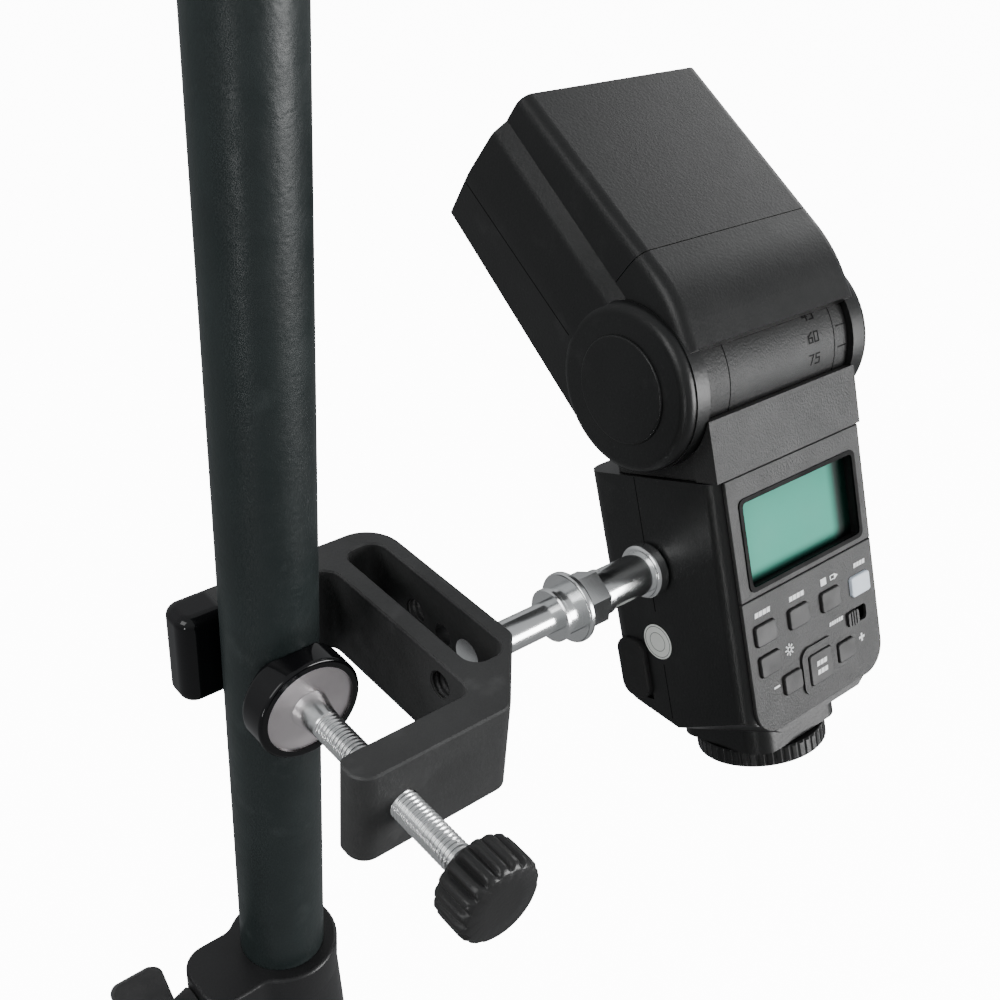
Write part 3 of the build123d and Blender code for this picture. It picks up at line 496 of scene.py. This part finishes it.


# ---------------------------------------------------------------- linings: painted shade inside the gaps
def lining(name, body, where, outline, low, high):
    """Near-black plate inside a thin gap, so that no daylight shows through it; its colour is painted shade
    for the inside of the gap.
    """
    points, faces = plates([outline], lambda x, y, z: where @ Vector((x, y, z)), high, sink=-low)
    piece(name, points, faces, SEAM_DARK_AND_GAP_SHADE, body)


lining("neck_lining", "neck", FLASH,
       [(1.0, -31.0), (64.0, -31.0), (64.0, -24.2), (63.1, -24.2), (63.1, 6.0), (57.7, 11.4), (7.3, 11.4),
        (1.9, 6.0), (1.9, -24.2), (1.0, -24.2)], BODY_TOP + 0.1, BODY_TOP + 0.6)
lining("head_lining", "head", HEAD, rounded(-3.3, 68.3, -29.8, -17.9, 3.6), 23.1, 24.1)

# ---------------------------------------------------------------- drum scale
STROKES = {  # each digit on a 1 by 1.6 grid
    "4": [((0.1, 1.6), (0.0, 0.6)), ((0.0, 0.6), (1.0, 0.6)), ((0.8, 1.6), (0.8, 0.0))],
    "5": [((1.0, 1.6), (0.1, 1.6)), ((0.1, 1.6), (0.1, 0.9)), ((0.1, 0.9), (0.9, 0.9)),
          ((0.95, 0.9), (0.95, 0.1)), ((0.9, 0.0), (0.0, 0.0))],
    "6": [((0.9, 1.6), (0.1, 1.1)), ((0.05, 1.1), (0.05, 0.0)), ((0.05, 0.0), (0.95, 0.0)),
          ((0.95, 0.0), (0.95, 0.8)), ((0.95, 0.8), (0.05, 0.8))],
    "0": [((0.05, 0.0), (0.95, 0.0)), ((0.95, 0.0), (0.95, 1.6)), ((0.95, 1.6), (0.05, 1.6)),
          ((0.05, 1.6), (0.05, 0.0))],
    "7": [((0.0, 1.6), (1.0, 1.6)), ((1.0, 1.6), (0.35, 0.0))],
}
DEG_PER_MM = math.degrees(1 / DRUM_R)


def stroke(start, end, half):
    """Outline of a thick line."""
    a, b = Vector(start), Vector(end)
    along = (b - a).normalized() * half
    side = Vector((-along.y, along.x))
    return [tuple(a - along - side), tuple(b + along - side),
            tuple(b + along + side), tuple(a - along + side)]


def numeral(text, u, degrees, size):
    """Strokes of a two-digit number on the drum."""
    outlines = []
    for k, digit in enumerate(text):
        for start, end in STROKES[digit]:
            flat = stroke(start, end, 0.11)
            outlines.append([(u + (x + 1.45 * k - 1.2) * size, degrees - (y - 0.8) * size * DEG_PER_MM)
                             for x, y in reversed(flat)])
    return outlines


NUMERAL_U, NUMERAL_SIZE = 48.2, 1.8
TICK_U0, TICK_U1, TICK_HALF = 58.9, 63.0, 0.4
marks = []
for text, degrees in (("45", 69.0), ("60", 85.5), ("75", 101.5)):
    marks += numeral(text, NUMERAL_U, degrees, NUMERAL_SIZE)
for degrees in (68.0, 83.5, 99.0):
    low, high = degrees - TICK_HALF, degrees + TICK_HALF
    marks.append([(TICK_U0, high), (TICK_U1, high), (TICK_U1, low), (TICK_U0, low)])
points, faces = plates(marks, on_drum, 0.13, sink=0.1)
piece("drum_scale", points, faces, MARK_DARK, "neck")


def drum_line(u, steps=40):
    """Closed thin band part of the way round the drum."""
    points, faces = [], []
    for k in range(steps + 1):
        degrees = 40 + 100 * k / steps
        for across, h in ((-0.16, 0.04), (0.16, 0.04), (0.16, -0.06), (-0.16, -0.06)):
            points.append(on_drum(u + across, degrees, h))
    for k in range(steps):
        for i in range(4):
            a, b = 4 * k + i, 4 * k + (i + 1) % 4
            faces.append([a, a + 4, b + 4, b])
    ends = [0, 1, 2, 3], [4 * steps + i for i in (3, 2, 1, 0)]
    return points, faces + list(ends)


for name, u in (("drum_line_left", 11.4), ("drum_line_right", 57.6)):
    points, faces = drum_line(u)
    piece(name, points, faces, SEAM_DARK_AND_GAP_SHADE, "neck")


# ---------------------------------------------------------------- stage, light, camera
FLOOR_HALF, FLOOR_GLOW = 14.0, 12.0
SKY_GLOW = 14.0             # added where the camera looks past the floor


def floor():
    """Pale floor that the camera sees; it stays out of the object's reflections."""
    mesh = bpy.data.meshes.new("floor")
    corners = [(a * FLOOR_HALF, b * FLOOR_HALF, 0) for a, b in ((-1, -1), (1, -1), (1, 1), (-1, 1))]
    mesh.from_pydata(corners, [], [[0, 1, 2, 3]])
    look = material("floor_pale", (0.90, 0.90, 0.90), 0.9, mottle=0.01, mottle_scale=2.0)
    shader = look.node_tree.nodes["Principled BSDF"]
    value(shader, "Emission Color", (1, 1, 1, 1))
    value(shader, "Emission Strength", FLOOR_GLOW)
    mesh.materials.append(look)
    made = bpy.data.objects.new("floor", mesh)
    bpy.context.scene.collection.objects.link(made)
    made.visible_glossy = False
    made.visible_diffuse = False


floor()

# The studio is dark below the horizon, pale above it and white where the camera looks past the floor.
world = bpy.data.worlds.new("studio")
bpy.context.scene.world = world
world.use_nodes = True
sky = world.node_tree
background = sky.nodes["Background"]
direction = sky.nodes.new("ShaderNodeTexCoord")
split = sky.nodes.new("ShaderNodeSeparateXYZ")
height = sky.nodes.new("ShaderNodeMapRange")
for name, amount in (("From Min", -0.3), ("From Max", 0.4), ("To Min", 0.27), ("To Max", 0.50)):
    value(height, name, amount)
sky.links.new(direction.outputs["Generated"], split.inputs["Vector"])
sky.links.new(split.outputs["Z"], height.inputs["Value"])
light_path = sky.nodes.new("ShaderNodeLightPath")
seen = sky.nodes.new("ShaderNodeMath")
seen.operation = "MULTIPLY_ADD"
sky.links.new(light_path.outputs["Is Camera Ray"], seen.inputs[0])
seen.inputs[1].default_value = SKY_GLOW
sky.links.new(height.outputs["Result"], seen.inputs[2])
sky.links.new(seen.outputs[0], background.inputs["Strength"])
background.inputs["Color"].default_value = (0.96, 0.98, 1.0, 1)


def softbox(name, place, aim, width, power, tall=None, glossy=True):
    """Area light at a place, turned towards a point; square unless a height is given."""
    lamp = bpy.data.lights.new(name, "AREA")
    lamp.shape = "RECTANGLE"
    lamp.size = width
    lamp.size_y = tall or width
    lamp.energy = power
    made = bpy.data.objects.new(name, lamp)
    made.location = place
    made.rotation_euler = (Vector(aim) - Vector(place)).to_track_quat("-Z", "Y").to_euler()
    made.visible_glossy = glossy
    bpy.context.scene.collection.objects.link(made)


MIDDLE = (0.07, 0.0, 0.5)
softbox("key_right", (1.22, -1.62, 0.62), MIDDLE, 1.0, 46)
softbox("side_right", (1.5, 0.2, 1.3), MIDDLE, 0.8, 5)
softbox("back_left", (-1.3, 0.6, 1.2), MIDDLE, 0.6, 14, glossy=False)
softbox("fill_left", (-1.2, -0.3, 1.5), MIDDLE, 0.9, 9)
softbox("strip_left", (-1.10, -0.70, 0.30), MIDDLE, 0.10, 1.5, tall=0.25)
softbox("overhead", (0.6, 0.6, 3.6), (0.6, 0.6, 0), 3.0, 40, glossy=False)

camera = bpy.data.cameras.new("photo_camera")
camera.lens = LENS
camera.sensor_width = 36.0
camera.clip_start = 0.01
camera.clip_end = 60.0
taker = bpy.data.objects.new("photo_camera", camera)
level = LOOK.cross(Vector((0, 0, 1))).normalized()
upright = level.cross(LOOK)
right = math.cos(ROLL) * level + math.sin(ROLL) * upright
up = -math.sin(ROLL) * level + math.cos(ROLL) * upright
turn = Matrix((right, up, -LOOK)).transposed().to_4x4()
taker.matrix_world = Matrix.Translation(CAMERA_AT) @ turn
bpy.context.scene.collection.objects.link(taker)
bpy.context.scene.camera = taker
